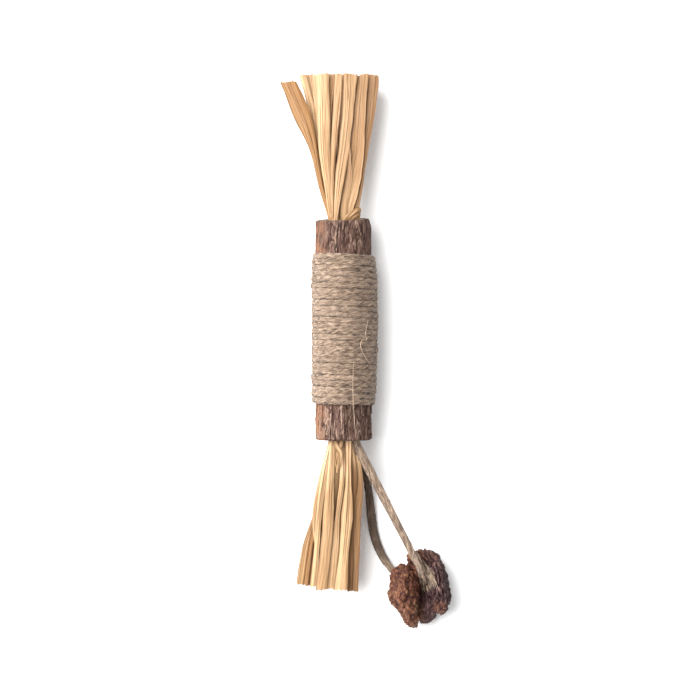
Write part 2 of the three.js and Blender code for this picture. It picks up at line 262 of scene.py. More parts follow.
class GallSettings(bpy.types.PropertyGroup):
    """The gall fruit"""

    voxel: length_setting("Voxel", "Size of the first even mesh", 0.28 * MM)
    knob: length_setting("Knob height", "Of the coarse knobs", 0.8 * MM)
    wrinkle: length_setting("Wrinkle height", "Of the wrinkles between the knobs", 0.46 * MM)
    grain: length_setting("Grain height", "Of the fine grains", 0.12 * MM)
    red: colour_setting("Red-brown", "Colour of the left lobe's knobs", 0.098, 0.035, 0.021)
    grey: colour_setting("Grey-brown", "Colour of the right lobe", 0.056, 0.032, 0.031)
    # These colours of the dry crowns are partly painted highlight on the knobs' tops
    fleck: colour_setting("Flecks", "Colour of dry crowns on the left", 0.21, 0.097, 0.05)
    olive: colour_setting("Olive flecks", "Colour of some of those crowns", 0.2, 0.118, 0.06)
    ash: colour_setting("Ash", "Colour of dry crowns on the right", 0.165, 0.095, 0.089)
    # The pits' colour is painted shade
    dark: colour_setting("Pits", "Colour of the pits", 0.024, 0.009, 0.009)


class SilvervineSettings(bpy.types.PropertyGroup):
    """All that a user would change"""

    stage: PointerProperty(type=StageSettings)
    bark: PointerProperty(type=BarkSettings)
    twine: PointerProperty(type=TwineSettings)
    raffia: PointerProperty(type=RaffiaSettings)
    gall: PointerProperty(type=GallSettings)


# Helpers for making pieces


def select_only(piece):
    bpy.ops.object.select_all(action="DESELECT")
    piece.select_set(True)
    bpy.context.view_layer.objects.active = piece


def apply_modifier(piece, kind, **settings):
    """Adds a modifier and applies it."""
    select_only(piece)
    modifier = piece.modifiers.new(kind.title(), kind)
    for name, value in settings.items():
        setattr(modifier, name, value)
    bpy.ops.object.modifier_apply(modifier=modifier.name)


def close_up(piece):
    """Merges what meets, fills the open ends and turns every face outwards."""
    select_only(piece)
    bpy.ops.object.mode_set(mode="EDIT")
    bpy.ops.mesh.select_all(action="SELECT")
    bpy.ops.mesh.remove_doubles(threshold=1e-7)
    bpy.ops.mesh.fill_holes(sides=0)
    bpy.ops.mesh.select_all(action="SELECT")
    bpy.ops.mesh.normals_make_consistent(inside=False)
    bpy.ops.object.mode_set(mode="OBJECT")


def smooth(piece, angle):
    select_only(piece)
    bpy.ops.object.shade_smooth_by_angle(angle=math.radians(angle))


def read(items, name, width):
    """One property of all vertices or corners, as rows of numbers."""
    found = np.empty(len(items) * width)
    items.foreach_get(name, found)
    return found.reshape(-1, width)


def points_of(piece):
    return read(piece.data.vertices, "co", 3)


def set_points(piece, points):
    piece.data.vertices.foreach_set("co", np.asarray(points, float).ravel())
    piece.data.update()


def store(piece, name, values):
    """Keeps one number for each point, for the material to read."""
    attribute = piece.data.attributes.new(name, "FLOAT", "POINT")
    attribute.data.foreach_set("value", np.full(len(attribute.data), values, np.float32))


def make_piece(name, points, edges, faces):
    mesh = bpy.data.meshes.new(name)
    mesh.from_pydata(points, edges, faces)
    piece = bpy.data.objects.new(name, mesh)
    bpy.context.scene.collection.objects.link(piece)
    return piece


def grid(name, across, along):
    """A flat grid of faces, with each point's place in it counted in faces across and along."""
    bpy.ops.object.select_all(action="DESELECT")
    bpy.ops.mesh.primitive_grid_add(x_subdivisions=across, y_subdivisions=along, size=1)
    piece = bpy.context.object
    piece.name = piece.data.name = name
    places = points_of(piece)
    column = np.rint((places[:, 0] + 0.5) * across).astype(int)
    row = np.rint((places[:, 1] + 0.5) * along).astype(int)
    return piece, column, row


def scale_uv(piece, width, length, skew=0.0):
    """Sets the UV map in millimetres across and along, so that a pattern keeps its real scale."""
    layer = piece.data.uv_layers.active.data
    found = read(layer, "uv", 2) * (width / MM, length / MM)
    found[:, 0] += skew * found[:, 1]
    layer.foreach_set("uv", found.ravel())


def lift_off_floor(piece, least=0.01 * MM):
    co = points_of(piece)
    co[:, 2] = np.maximum(co[:, 2], least)
    set_points(piece, co)


def finish_piece(piece, material, slot, *nodes):
    """Gives a piece its material, by name, and its body, and hides the nodes that it replaces.
    Its slot is not used.
    """
    piece.data.materials.clear()
    piece.data.materials.append(bpy.data.materials[material])
    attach(piece, BODY)
    if nodes:
        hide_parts(*nodes)


def smoothstep(values, low, high):
    share = np.clip((np.asarray(values, float) - low) / (high - low), 0, 1)
    return share * share * (3 - 2 * share)


def unit(vectors):
    return vectors / np.linalg.norm(vectors, axis=-1, keepdims=True)


def noise_at(points):
    return np.array([noise.noise(p) for p in points.tolist()])


def noise_in(x, y, z):
    return noise_at(np.stack(np.broadcast_arrays(x, y, z), 1))


def hump(values, width):
    """1 where values are 0, and falling off over a width on both sides."""
    return np.exp(-((values / width) ** 2))


def cells_at(points):
    """The distance to the nearest of many scattered points, how much further away the next one
    is, and a random number for each."""
    found = [noise.voronoi(p) for p in points.tolist()]
    near = np.array([distances[:2] for distances, _ in found])
    seeds = np.array([tuple(cells[0]) for _, cells in found])
    mixed = np.sin(seeds @ (12.9898, 78.233, 37.719)) * 43758.5453
    return near[:, 0], near[:, 1] - near[:, 0], mixed - np.floor(mixed)


def lengths_along(line):
    """How far along a line each of its points is."""
    return np.concatenate([[0], np.cumsum(np.linalg.norm(np.diff(line, axis=0), axis=1))])


def smooth_line(points, count):
    """A smooth line of evenly spaced points through a few given ones, and its length."""
    given = np.asarray(points, float)
    padded = np.vstack([2 * given[0] - given[1], given, 2 * given[-1] - given[-2]])
    fine = []
    for p0, p1, p2, p3 in zip(padded, padded[1:], padded[2:], padded[3:]):
        t = np.linspace(0, 1, 24, endpoint=False)[:, None]
        curve = 2 * p1 + (p2 - p0) * t + (2 * p0 - 5 * p1 + 4 * p2 - p3) * t**2
        fine.append((curve + (3 * p1 - p0 - 3 * p2 + p3) * t**3) / 2)
    fine = np.vstack([*fine, given[-1:]])
    along = lengths_along(fine)
    even = np.linspace(0, along[-1], count)
    return np.stack([np.interp(even, along, column) for column in fine.T], 1), along[-1]


def smooth_stations(stations, count):
    """Smooth rows through a few given ones, evenly spaced by their first column."""
    calm = (1, 0.05, 0.05, 0.05)
    fine = smooth_line(stations * calm, 400)[0] / calm
    even = np.linspace(stations[0, 0], stations[-1, 0], count)
    return np.stack([np.interp(even, fine[:, 0], column) for column in fine.T], 1)


def side_vectors(line):
    """Two vectors square to a line at each of its points, turning as little as they can."""
    ahead = unit(np.gradient(line, axis=0))
    side = np.empty_like(line)
    side[0] = unit(np.cross(ahead[0], (0, 0, 1)))
    for i in range(1, len(line)):
        side[i] = unit(side[i - 1] - ahead[i] * (side[i - 1] @ ahead[i]))
    return side, np.cross(side, ahead)


def at_rows(values, rows):
    """Values at whole or part rows of an array."""
    low = np.clip(np.asarray(rows, int), 0, len(values) - 2)
    share = np.asarray(rows, float) - low
    if values.ndim > 1:
        share = share[..., None]
    return values[low] * (1 - share) + values[low + 1] * share


class TwinePath(NamedTuple):
    """A twine's middle line, the directions to its side and outwards, its width and height"""

    line: np.ndarray
    side: np.ndarray
    out: np.ndarray
    width: np.ndarray
    height: np.ndarray

    def length(self):
        return np.linalg.norm(np.diff(self.line, axis=0), axis=1).sum()

    def surface(self, rows, angle, grow):
        """Points on the twine's outline, a rounded oblong, at angles counted from outwards."""
        square = 2.9
        c, s = np.cos(angle), np.sin(angle)
        radius = grow * (abs(c) ** square + abs(s) ** square) ** (-1 / square)
        outwards = (at_rows(self.height, rows) / 2 * c * radius)[..., None]
        sideways = (at_rows(self.width, rows) / 2 * s * radius)[..., None]
        points = at_rows(self.line, rows) + at_rows(self.out, rows) * outwards
        return points + at_rows(self.side, rows) * sideways


def make_rope(name, path, lay, across, ply, fibre):
    """A two-ply twine, with the plies' and the fibres' height as shares of its radius. Its UV map
    is in millimetres, with the seam on the inner side."""
    count = len(path.line)
    piece, column, row = grid(name, across, count - 1)
    along = lengths_along(path.line)
    rng = np.random.default_rng(count)
    blur = 41
    wander = np.convolve(rng.normal(size=count + blur - 1), np.ones(blur) / blur, "valid")[:count]
    angle = 2 * math.pi * (column % across) / across + math.pi
    twist = 2 * math.pi * along / lay + 2.5 * wander
    turned = angle - 0.35 * twist[row]
    c, s = np.cos(turned), np.sin(turned)
    far = along[row] / MM
    grow = 1 + ply * np.cos(2 * (angle - twist[row])) + 0.25 * wander[row]
    coarse = noise_in(1.6 * c, 1.6 * s, far / 3)
    grow += fibre * (0.55 * coarse + 0.75 * noise_in(4 * c, 4 * s, far / 1.5))
    set_points(piece, path.surface(row, angle, grow))
    scale_uv(piece, math.pi * (path.width.mean() + path.height.mean()) / 2, along[-1], 0.16)
    close_up(piece)
    lift_off_floor(piece)
    smooth(piece, 70)
    return piece


def lay_fibres(path, rng, count, reach, lean, lengths, loose):
    """The lines of single fibres on a twine, within an angle from outwards. Some come loose."""
    rows = len(path.line) - 1
    per_row = path.length() / rows
    longest = lengths[1] / per_row + 1
    length = rng.uniform(*lengths, count)
    start = rng.uniform(longest, rows - longest, count)
    way = rng.choice((-1.0, 1.0), count)
    angle = rng.uniform(-reach, reach, count)
    slope = rng.normal(lean, 0.18, count)
    t = np.linspace(0, 1, POINTS_PER_FIBRE)
    travel = (way * length)[:, None] * t
    turn = angle[:, None] + slope[:, None] * travel / path.width.mean() * 2
    lift = rng.uniform(1, 1.09, count)[:, None]
    points = path.surface(start[:, None] + travel / per_row, turn, lift)
    free = (rng.uniform(size=count) < loose) * rng.uniform(0.05, 0.3, count) * length
    away = at_rows(path.out, start) * 0.7 + rng.normal(size=(count, 3)) * 0.5
    return points + away[:, None] * (free[:, None] * t**2)[..., None]


def make_hairs(name, lines, radius, tones):
    """Thin three-sided hairs in one mesh, each along one of the lines and pointed at both ends."""
    count, stations, _ = lines.shape
    ahead = unit(np.gradient(lines, axis=1))
    first = unit(np.cross(ahead, (0.31, 0.22, 0.92)))
    second = np.cross(ahead, first)
    taper = 1 - 0.8 * np.linspace(-1, 1, stations) ** 4
    thin = np.broadcast_to(radius, count)[:, None, None] * taper[None, :, None]
    turns = [2 * math.pi * k / 3 for k in range(3)]
    rings = [lines + thin * (first * math.cos(turn) + second * math.sin(turn)) for turn in turns]
    points = np.stack(rings, 2).reshape(-1, 3)
    per_hair = stations * 3
    edges = [(s * 3 + k, s * 3 + (k + 1) % 3) for s in range(stations - 1) for k in range(3)]
    sides = np.array([(a, b, b + 3, a + 3) for a, b in edges])
    ends = np.array([(2, 1, 0), (per_hair - 3, per_hair - 2, per_hair - 1)])
    shift = per_hair * np.arange(count)[:, None, None]
    quads, caps = ((sides + shift).reshape(-1, 4), (ends + shift).reshape(-1, 3))
    piece = make_piece(name, points.tolist(), [], quads.tolist() + caps.tolist())
    store(piece, "tone", np.repeat(tones, per_hair))
    close_up(piece)
    lift_off_floor(piece)
    return piece


# Materials


class Shader:
    """A material with one Principled shader, and a short way to add nodes to it"""

    def __init__(self, name, **sockets):
        self.material = bpy.data.materials.new(name)
        self.material.use_nodes = True
        self.nodes = self.material.node_tree.nodes
        self.surface = self.nodes["Principled BSDF"]
        for socket, value in sockets.items():
            self.put(self.surface.inputs[socket.replace("_", " ")], value)

    def put(self, socket, value):
        if isinstance(value, bpy.types.NodeSocket):
            self.material.node_tree.links.new(value, socket)
        elif hasattr(value, "__len__") and len(socket.default_value) == 4:
            socket.default_value = (*value, 1)
        else:
            socket.default_value = value

    def add(self, kind, inputs, output=0, **settings):
        """Adds a node with some of its inputs, by name or number, and gives one output."""
        node = self.nodes.new("ShaderNode" + kind)
        for name, value in settings.items():
            setattr(node, name, value)
        for name, value in inputs.items():
            self.put(node.inputs[name], value)
        return node.outputs[output]

    def attribute(self, name):
        return self.add("Attribute", {}, "Fac", attribute_name=name)

    def place(self, kind="Object", stretch=(1, 1, 1)):
        """Object or UV coordinates, stretched."""
        return self.add("Mapping", {"Vector": self.add("TexCoord", {}, kind), "Scale": stretch})

    def noise(self, scale, detail=3, roughness=0.55, stretch=(1, 1, 1), kind="Object"):
        inputs = {"Scale": scale, "Detail": detail, "Roughness": roughness}
        return self.add("TexNoise", {"Vector": self.place(kind, stretch), **inputs})

    def ramp(self, value, low, high):
        """value, from 0 at low to 1 at high."""
        inputs = {"Value": value, "From Min": low, "From Max": high}
        return self.add("MapRange", inputs, interpolation_type="SMOOTHSTEP")

    def mix(self, share, first, second):
        return self.add("Mix", {0: share, 6: first, 7: second}, 2, data_type="RGBA")

    def maths(self, operation, first, second):
        return self.add("Math", {0: first, 1: second}, operation=operation)

    def tint(self, base, colour, pattern, low, high, share):
        """base, with a share of a colour where a pattern goes from low to high."""
        share = self.maths("MULTIPLY", self.ramp(pattern, low, high), share)
        return self.mix(share, base, colour)

    def finish(self, colour, height=None, distance=0.0, strength=1.0):
        """Gives the material its colour, and bumps as high as a pattern says."""
        self.put(self.surface.inputs["Base Color"], colour)
        if height:
            inputs = {"Height": height, "Distance": distance, "Strength": strength}
            self.put(self.surface.inputs["Normal"], self.add("Bump", inputs))


def times(colour, share):
    return tuple(value * share for value in colour)


def make_bark_material(bark):
    shader = Shader("bark_surface", Roughness=0.8, Specular_IOR_Level=0.15)
    grain = shader.noise(1300, 4, 0.6, (1, 0.2, 1))
    blotch = shader.noise(260, stretch=(1, 0.5, 1))
    x = shader.add("SeparateXYZ", {"Vector": shader.place()}, "X")
    # Paler where the bark shows wear, and at the lower left as painted light
    look = shader.mix(shader.ramp(shader.attribute("worn"), 0.35, 0.95), bark.middle, bark.pale)
    look = shader.tint(look, bark.pale, grain, 0.5, 0.75, 0.6)
    look = shader.tint(look, bark.dark, grain, 0.5, 0.25, 0.6)
    # The left side is warmer and paler: smooth inner bark, and painted light where the light falls
    left = shader.ramp(x, -4.5 * MM, -7.5 * MM)
    look = shader.tint(look, bark.warm, blotch, 0.3, 0.55, shader.maths("MULTIPLY", left, 0.8))
    look = shader.tint(look, bark.dark, grain, 0.52, 0.36, 0.7)
    # Dark in the cracks, and painted shade at the lower right
    look = shader.mix(shader.attribute("crack_and_shade"), look, bark.dark)
    shader.finish(look, grain, 0.14 * MM, 0.9)


def make_sawn_material(bark):
    shader = Shader("sawn_surface", Roughness=0.85, Specular_IOR_Level=0.2)
    grain = shader.noise(1400)
    look = shader.mix(shader.ramp(grain, 0.3, 0.7), bark.sawn, bark.grain)
    shader.finish(look, grain, 0.08 * MM, 0.7)


def make_twine_material(twine):
    shader = Shader("twine_surface", Roughness=0.75, Specular_IOR_Level=0.25, Sheen_Weight=0.1,
                    Sheen_Roughness=0.6)
    strands = shader.noise(1, 3, 0.6, (3.4, 0.36, 1), "UV")
    fibres = shader.noise(1, 3, 0.7, (8, 0.8, 1), "UV")
    patches = shader.noise(420, 3, 0.6)
    bright, dark = times(twine.pale, 1.5), times(twine.deep, 0.55)
    look = shader.mix(shader.ramp(strands, 0.34, 0.66), twine.deep, twine.pale)
    look = shader.tint(look, bright, fibres, 0.55, 0.72, 0.75)
    look = shader.tint(look, dark, fibres, 0.44, 0.28, 0.8)
    look = shader.tint(look, twine.deep, patches, 0.52, 0.68, 0.7)
    # Painted shade where the shade attribute says so, on the hanging twines and the winding
    look = shader.mix(shader.attribute("shade"), look, dark)
    shader.finish(look, shader.maths("ADD", strands, fibres), 0.16 * MM)


def make_hair_material(twine):
    shader = Shader("fibre_surface", Roughness=0.6, Specular_IOR_Level=0.35)
    tone = shader.attribute("tone")
    look = shader.mix(shader.ramp(tone, 0, 0.6), times(twine.deep, 0.6), twine.pale)
    shader.finish(shader.mix(shader.ramp(tone, 0.6, 1), look, times(twine.pale, 1.6)))


def make_raffia_material(raffia):
    shader = Shader("raffia_surface", Roughness=0.5, Specular_IOR_Level=0.3)
    fibres = shader.noise(1, 4, 0.6, (3.6, 0.05, 1), "UV")
    broad = shader.noise(1, 2, 0.5, (1.5, 0.05, 1), "UV")
    clouds = shader.noise(1, 2, 0.5, (0.45, 0.09, 1), "UV")
    tone, amber = shader.attribute("tone"), shader.attribute("amber")
    look = shader.mix(tone, raffia.pale, raffia.tan)
    # Painted light: a tone below zero, at the lower tassel's roots, turns cream
    look = shader.mix(shader.maths("MULTIPLY", tone, -1), look, raffia.cream)
    look = shader.mix(amber, look, raffia.amber)
    look = shader.mix(shader.ramp(amber, 1, 2), look, raffia.rust)
    look = shader.tint(look, raffia.tan, fibres, 0.48, 0.66, 0.65)
    look = shader.tint(look, raffia.tan, broad, 0.5, 0.64, 0.5)
    look = shader.tint(look, raffia.brown, broad, 0.6, 0.7, 0.35)
    look = shader.tint(look, raffia.amber, clouds, 0.5, 0.75, 0.45)
    # Painted shade: dark lines along the edges and layers, and the shade of shaded strips
    edge = shader.maths("MULTIPLY", shader.attribute("edge"), 0.85)
    look = shader.mix(edge, look, raffia.brown)
    shader.finish(look, shader.maths("ADD", fibres, broad), 0.09 * MM)


def make_gall_material(gall):
    shader = Shader("gall_surface", Roughness=0.6, Specular_IOR_Level=0.12)
    right = shader.attribute("grey")
    speckle = shader.noise(2100)
    patches = shader.noise(190, 2)
    dry = shader.mix(shader.ramp(patches, 0.5, 0.68), gall.fleck, gall.olive)
    dry = shader.mix(right, dry, gall.ash)
    # Paler crowns on the knobs: dry flecks, and painted highlight
    crown_and_highlight = shader.maths("MULTIPLY", shader.attribute("crown_and_highlight"), 0.65)
    look = shader.mix(crown_and_highlight, shader.mix(right, gall.red, gall.grey), dry)
    look = shader.tint(look, dry, speckle, 0.54, 0.7, 0.45)
    # Painted shade in the pits, folds, furrows and along the right rim
    look = shader.mix(shader.attribute("pit_shade"), look, gall.dark)
    shader.finish(look, speckle, 0.12 * MM, 0.9)


# Operators


class SILVERVINE_OT_stage(bpy.types.Operator):
    """Sets up the camera straight above, the floor and the lights"""

    bl_idname = "silvervine.stage"
    bl_label = "Stage"

    def execute(self, context):
        stage = context.scene.silvervine.stage
        x, y = stage.centre
        bpy.ops.object.camera_add(location=(x, y, stage.camera_height), rotation=(0, 0, 0))
        camera = context.object
        camera.data.lens = stage.lens
        camera.data.sensor_width = 36
        context.scene.camera = camera

        bpy.ops.mesh.primitive_plane_add(size=6, location=(0, 0, 0))
        floor = context.object
        floor.name = "floor"
        shader = Shader("floor_surface", Base_Color=stage.floor_colour, Roughness=0.9)
        floor.data.materials.append(shader.material)

        lights = (
            ("low_light", (-1.2, 0.6, 0.36), 0.8, stage.key_power),
            ("high_light", (-0.8, 0.4, 1.3), 1.6, stage.panel_power),
        )
        for name, place, size, power in lights:
            bpy.ops.object.light_add(type="AREA", location=place)
            light = context.object
            light.name = name
            light.data.shape = "DISK"
            light.data.size = size
            light.data.energy = power
            light.rotation_euler = (-Vector(place)).to_track_quat("-Z", "Y").to_euler()

        world = bpy.data.worlds.new("soft_room")
        world.use_nodes = True
        background = world.node_tree.nodes["Background"]
        background.inputs["Color"].default_value = (1, 1, 1, 1)
        background.inputs["Strength"].default_value = stage.room
        context.scene.world = world
        context.scene.view_settings.view_transform = "Standard"
        return {"FINISHED"}


class SILVERVINE_OT_hanging_twines(bpy.types.Operator):
    """Makes the two lengths of twine that the gall fruit hangs on"""

    bl_idname = "silvervine.hanging_twines"
    bl_label = "Hanging twines"

    def execute(self, context):
        twine = context.scene.silvervine.twine
        make_twine_material(twine)
        make_hair_material(twine)
        rng = np.random.default_rng(11)
        count = 700
        # The last number is how much painted shade darkens each twine along its hanging length
        for name, node, route, widths, heights, lay, dark in (
            ("front_twine", "front_hanging_twine", FRONT_TWINE_ROUTE, FRONT_TWINE_WIDTHS,
             FRONT_TWINE_HEIGHTS, 8 * MM, 0),
            ("back_twine", "back_hanging_twine", BACK_TWINE_ROUTE, BACK_TWINE_WIDTHS,
             BACK_TWINE_HEIGHTS, 16 * MM, 0.6),
        ):
            line, length = smooth_line(np.array(route) * MM, 300)
            given = -np.array(route)[:, 1]
            far = -line[:, 1] / MM
            width, height = (np.interp(far, given, sizes) * MM for sizes in (widths, heights))
            path = TwinePath(line, *side_vectors(line), width, height)
            piece = make_rope(name, path, lay, 24, 0.06, 0.16)
            y = points_of(piece)[:, 1] / MM
            # Painted shade: the back twine is darker along its hanging length, and both twines'
            # ends are darker where they lie on and under the gall fruit
            shade = dark * smoothstep(y, -72.5, -66) * smoothstep(y, -30, -36)
            store(piece, "shade", shade + 0.4 * (1 - dark) * smoothstep(y, -67.5, -73))
            finish_piece(piece, "twine_surface", "jute_twine", node)
            lines = lay_fibres(path, rng, count, math.pi, 0.2, (2 * MM, 6 * MM), 0.04)
            # The back twine's fibres are darker as well, painted shade
            tones = rng.uniform(0, 1, count) * (1 - 0.75 * (dark > 0))
            fuzz = make_hairs(name + "_fibres", lines, 0.05 * MM, tones)
            finish_piece(fuzz, "fibre_surface", "jute_twine")
        return {"FINISHED"}


def bark_profile(bark):
    """Radius and Y from one bore's end to the other, closely spaced where the bark shows."""
    waist, rounding, shown = 7.75 * MM, 0.8 * MM, 11.3 * MM
    edge = [
        (bark.radius - rounding * (1 - math.sin(a)), rounding * (1 - math.cos(a)))
        for a in np.linspace(0, math.pi / 2, 7)
    ]
    rows = np.linspace(rounding, shown, 90)[1:]
    half = [(0, BORE_DEPTH), (BORE_RADIUS, BORE_DEPTH), (BORE_RADIUS, BORE_DEPTH / 2)]
    half += [(r, 0) for r in np.linspace(BORE_RADIUS, edge[0][0], 8)[:-1]]
    half += edge + [(bark.radius, y) for y in rows] + [(waist, rows[-1])]
    lower = [(r, LOWER_MOUTH_Y + y) for r, y in half]
    upper = [(r, UPPER_MOUTH_Y - y) for r, y in reversed(half)]
    return lower + upper


def bark_relief(bark, angle, y):
    """How far the bark stands out, in millimetres, how much wear it shows, with painted light at
    the lower left, and how cracked it is, with painted shade at the lower right.
    """
    # Long ridges that lean a little, with fibres and thin crests
    c, s = np.cos(angle), np.sin(angle)
    lean = angle + 0.014 * y
    ridge = 0.4 * np.sin(5 * lean + 0.7) + 0.6 * np.sin(9 * lean + 2.1)
    ridge += 0.5 * np.sin(14 * lean + 4)
    bend = noise_in(2.5 * c, 2.5 * s, 0.16 * y)[:, None]
    jag = noise_in(9 * c, 9 * s, 0.8 * y)
    fibre = noise_in(26 * c, 26 * s + 5, 0.9 * y)
    waver = noise_at(np.stack([5 * c, 5 * s + 3, 0.1 * y], 1) + 0.4 * bend)
    crest = hump(waver, 0.05) * smoothstep(jag, -0.5, 0)

    # Plates and splinters with curled edges, parted by cracks
    stem = np.stack([5.6 * c, 5.6 * s, 0.11 * y], 1) + 0.5 * bend + 0.16 * jag[:, None]
    _, border, plate = cells_at(stem)
    _, thin_border, splinter = cells_at(stem * (2.1, 2.1, 1.5) + 5)
    curl = smoothstep(border, 0.4, 0.1) * smoothstep(plate, 0.5, 0.9)
    crack_and_shade = hump(border, 0.07) * (0.35 + 0.65 * smoothstep(plate, 0.2, 0.8))
    crack_and_shade += 0.45 * hump(thin_border, 0.06) * smoothstep(splinter, 0.45, 0.6)

    # Smooth at the left, calmer at the upper right, with painted light at the lower left and
    # painted shade at the lower right
    smooth_patch = smoothstep(np.cos(angle - 2.7), 0.8, 0.97)
    calm = smoothstep(c, 0.5, 0.9) * smoothstep(y, 0, 20)
    rough = 1 - 0.4 * smooth_patch - 0.5 * calm
    height = bark.flake_height / MM * ((plate - 0.5) + 0.35 * (splinter - 0.5) + 0.3 * curl)
    height += 0.2 * crest - bark.crack_depth / MM * crack_and_shade
    height = rough * height + 0.24 * ridge + 0.08 * fibre * (0.4 + 0.6 * rough)
    worn = rough * (0.36 * plate + 0.25 * curl + 0.25 * splinter + 0.2 * fibre + 0.5 * crest)
    lower = smoothstep(y, 0, -20)
    # Painted light: the lower left, where the light falls, is paler
    worn += 0.35 * lower * smooth_patch
    # Painted shade: the lower right is darker
    shadow = 0.28 * lower * smoothstep(c, 0.35, 0.9)
    return height, worn, np.clip(0.85 * rough * crack_and_shade + shadow, 0, 1)


def spun_stem(bark):
    """The stem's profile, spun round its middle line."""
    points = [(r, y, 0) for r, y in bark_profile(bark)]
    edges = [(i, i + 1) for i in range(len(points) - 1)]
    piece = make_piece("bark_stick", points, edges, [])
    select_only(piece)
    bpy.ops.object.mode_set(mode="EDIT")
    bpy.ops.mesh.select_all(action="SELECT")
    bpy.ops.mesh.spin(steps=bark.columns, angle=2 * math.pi, center=(0, 0, 0), axis=(0, 1, 0))
    bpy.ops.object.mode_set(mode="OBJECT")
    close_up(piece)
    return piece


class SILVERVINE_OT_stick(bpy.types.Operator):
    """Makes the stem with its bark, its sawn ends and its bores"""

    bl_idname = "silvervine.stick"
    bl_label = "Stick"

    def execute(self, context):
        bark = context.scene.silvervine.bark
        make_bark_material(bark)
        make_sawn_material(bark)
        piece = spun_stem(bark)
        co = points_of(piece) / MM
        radius = np.hypot(co[:, 0], co[:, 2])
        angle = np.arctan2(co[:, 2], co[:, 0])
        y = co[:, 1]
        skin = smoothstep(radius, bark.radius / MM - 0.75, bark.radius / MM - 0.1)
        on_skin = skin > 0
        height, worn, crack_and_shade = np.zeros((3, len(co)))
        height[on_skin], worn[on_skin], crack_and_shade[on_skin] = bark_relief(
            bark, angle[on_skin], y[on_skin]
        )

        # The upper end is sawn a little askew, and its right corner is worn down
        corner = smoothstep(y, 30.2, 32.9) * smoothstep(np.cos(angle), 0.2, 0.95)
        grow = 1 + skin * (height - 0.6 * corner) / np.maximum(radius, 1)
        co[:, 0] *= grow
        co[:, 2] *= grow
        co[:, 1] += smoothstep(y, 28, 32) * (0.03 * co[:, 0] - 0.1 * co[:, 2])
        co += (AXIS_X / MM, 0, AXIS_Z / MM)
        set_points(piece, co * MM)
        # The cracks, with painted shade at the lower right, and the wear, with painted light at the
        # lower left
        store(piece, "crack_and_shade", crack_and_shade * skin)
        store(piece, "worn", worn * skin)
        smooth(piece, 75)
        finish_piece(piece, "bark_surface", "bark", "stick")

        piece.data.materials.append(bpy.data.materials["sawn_surface"])
        bore_edge, bark_edge = BORE_RADIUS + 0.1 * MM, bark.radius - 0.55 * MM
        for face in piece.data.polygons:
            centre = face.center
            off_axis = math.hypot(centre.x - AXIS_X, centre.z - AXIS_Z)
            is_end = abs(face.normal.y) > 0.8 and abs(centre.y) > 30 * MM
            if off_axis < bore_edge or (is_end and off_axis < bark_edge):
                face.material_index = 1
        return {"FINISHED"}


def winding_path(twine):
    """The path of the wound twine, which sways a little and pulls in at both ends."""
    per_turn, window = 168, 91
    start = -math.pi / 4 - twine.turns / 2 * 2 * math.pi
    angle = start + np.linspace(0, twine.turns * 2 * math.pi, twine.turns * per_turn + 1)
    y = twine.pitch * (angle + math.pi / 2) / (2 * math.pi)
    # It is thickest near the middle, and its last turns at both ends lie lower
    thickest_y, half_length, last_turns = 2 * MM, 25 * MM, (18.5 * MM, 22.5 * MM)
    swell = 0.5 + 0.5 * np.cos(math.pi * (y - thickest_y) / half_length)
    drop = smoothstep(y, *last_turns) + 0.7 * smoothstep(-y, *last_turns)
    half_width = (9.62 + 0.36 * swell - 0.38 * drop) * MM - twine.wound_height / 2
    centre_x = AXIS_X + 0.45 * MM * swell
    half_depth = AXIS_Z - (0.05 + 0.3 * drop) * MM - twine.wound_height / 2
    c, s = np.cos(angle), np.sin(angle)
    line = np.stack([centre_x + half_width * c, y, AXIS_Z + half_depth * s], 1)
    out = np.stack([c, np.zeros_like(c), s], 1)
    side = np.tile((0.0, 1.0, 0.0), (len(angle), 1))
    rng = np.random.default_rng(7)
    blur = np.hanning(window) / np.hanning(window).sum()
    sway, lift = (
        np.convolve(rng.normal(size=len(line) + window - 1), blur, "valid")[:, None]
        for _ in range(2)
    )
    line = line + side * (0.8 * MM * sway) + out * (0.7 * MM * lift)
    sizes = (np.full(len(line), value) for value in (twine.wound_width, twine.wound_height))
    return TwinePath(line, side, out, *sizes)


def on_winding(points):
    """Puts points, given by X and Y in millimetres, on top of the winding or the bark below it."""
    winding_end, over_winding, over_bark, middle_x = -23 * MM, 9.95 * MM, 8.5 * MM, 0.1 * MM
    co = np.array(points) * MM
    reach = np.where(co[:, 1] > winding_end, over_winding, over_bark)
    height = np.sqrt(np.maximum(reach**2 - (co[:, 0] - middle_x) ** 2, 0)) + 0.12 * MM
    return np.column_stack([co, AXIS_Z + height])


